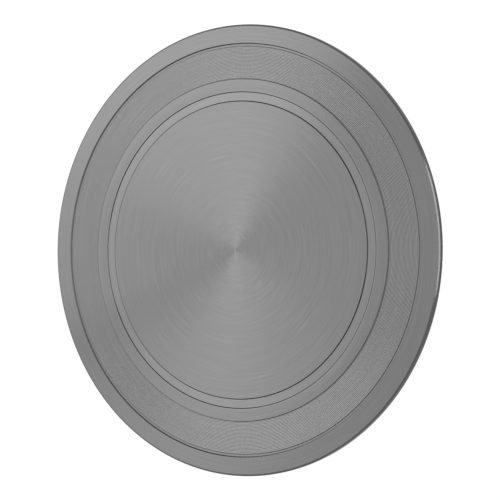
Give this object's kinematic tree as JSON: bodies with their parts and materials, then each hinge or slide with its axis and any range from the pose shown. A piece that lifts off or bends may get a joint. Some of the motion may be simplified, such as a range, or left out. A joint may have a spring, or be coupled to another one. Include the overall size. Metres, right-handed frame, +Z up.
{
  "type": "banding wheel",
  "caption": "Low banding wheel: a thin round turned-metal head with centring rings that spins on a ball-bearing spindle in a cast base with rubber feet.",
  "frame": {"origin": "on the table, under the spindle axis, level with the underside of the feet", "axes": "+Z up the spindle axis towards the work face; +X and +Y lie midway between the feet"},
  "size_m": [0.25, 0.25, 0.062],
  "materials": {
    "turned_aluminium": "lathe-turned, satin",
    "ground_steel": "turned and ground",
    "bearing_steel": "ground and polished",
    "cage_nylon": "moulded",
    "seal_rubber": "matt",
    "spring_steel": "phosphated",
    "black_steel": "black oxide",
    "grey_enamel": "satin grey enamel over cast iron",
    "zinc_plate": "zinc plated sheet",
    "zinc_steel": "zinc plated",
    "foot_rubber": "matt"
  },
  "bodies": {
    "stand": {"base": "grey_enamel", "bottom_cover": "zinc_plate", "cover_screws": "zinc_steel", "housing_retaining_ring": "spring_steel", "foot_1": "foot_rubber", "foot_2": "foot_rubber", "foot_3": "foot_rubber", "foot_4": "foot_rubber", "foot_washers": "zinc_steel", "foot_screws": "zinc_steel", "upper_bearing_outer_ring": "bearing_steel", "upper_bearing_top_seal": "seal_rubber", "upper_bearing_bottom_seal": "seal_rubber", "lower_bearing_outer_ring": "bearing_steel", "lower_bearing_top_seal": "seal_rubber", "lower_bearing_bottom_seal": "seal_rubber"},
    "wheel": {"wheel_head": "turned_aluminium", "spindle": "ground_steel", "head_screws": "black_steel", "inner_spacer": "ground_steel", "support_washer": "ground_steel", "spindle_retaining_ring": "spring_steel", "upper_bearing_inner_ring": "bearing_steel", "lower_bearing_inner_ring": "bearing_steel"},
    "upper_ball_set": {"upper_bearing_balls": "bearing_steel", "upper_bearing_cage": "cage_nylon"},
    "lower_ball_set": {"lower_bearing_balls": "bearing_steel", "lower_bearing_cage": "cage_nylon"}
  },
  "joints": [
    {"name": "wheel_spin", "type": "hinge", "parent": "stand", "child": "wheel", "pos_m": [0, 0, 0.062], "axis": [0, 0, 1], "continuous": true},
    {"name": "upper_cage_spin", "type": "hinge", "parent": "stand", "child": "upper_ball_set", "pos_m": [0, 0, 0.039], "axis": [0, 0, 1], "continuous": true},
    {"name": "lower_cage_spin", "type": "hinge", "parent": "stand", "child": "lower_ball_set", "pos_m": [0, 0, 0.019], "axis": [0, 0, 1], "continuous": true}
  ],
  "couplings": [
    {"joint": "upper_cage_spin", "follows": "wheel_spin", "ratio": 0.39758},
    {"joint": "lower_cage_spin", "follows": "wheel_spin", "ratio": 0.39758}
  ]
}
